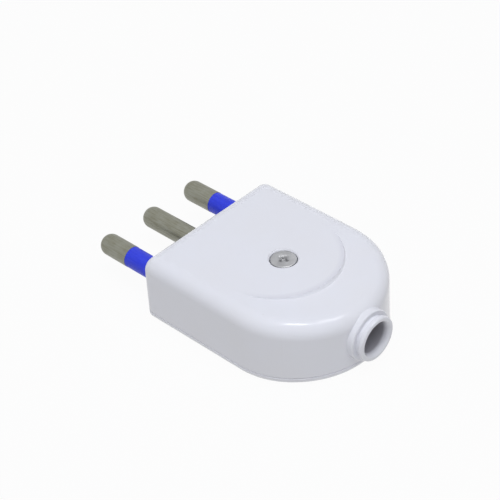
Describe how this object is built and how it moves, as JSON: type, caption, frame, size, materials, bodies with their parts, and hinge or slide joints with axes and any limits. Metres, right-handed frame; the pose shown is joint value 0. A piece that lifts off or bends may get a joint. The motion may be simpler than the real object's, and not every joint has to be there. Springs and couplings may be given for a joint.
{
  "type": "flat electric plug",
  "caption": "Rewirable flat mains plug: D-shaped two-part housing with round pins in a row, the outer ones sleeved, and a round cable outlet at the rear.",
  "frame": {"origin": "centre of the pin face, on the axis of the earth pin", "axes": "+Y is the direction in which the plug enters a socket, along the pins; +Z points from the lid up to the screw head; +X is across the row of pins"},
  "size_m": [0.0388, 0.0679, 0.0157],
  "materials": {
    "white_moulding": "glossy white thermoset moulding",
    "pin_metal": "dull nickel plate over brass",
    "blue_sleeve": "satin blue insulating plastic",
    "plated_steel": "zinc plated, slightly dull",
    "clamp_plastic": "unpolished white nylon"
  },
  "bodies": {
    "root": {"cover_shell": "white_moulding", "base_lid": "white_moulding", "assembly_screw": "plated_steel", "assembly_nut": "plated_steel", "earth_pin": "pin_metal", "live_pin_left": "pin_metal", "live_pin_right": "pin_metal", "pin_sleeve_left": "blue_sleeve", "pin_sleeve_right": "blue_sleeve", "terminal_screw_left": "plated_steel", "terminal_screw_earth": "plated_steel", "terminal_screw_right": "plated_steel", "cable_clamp_bar": "clamp_plastic", "clamp_screw_left": "plated_steel", "clamp_screw_right": "plated_steel"}
  },
  "joints": []
}
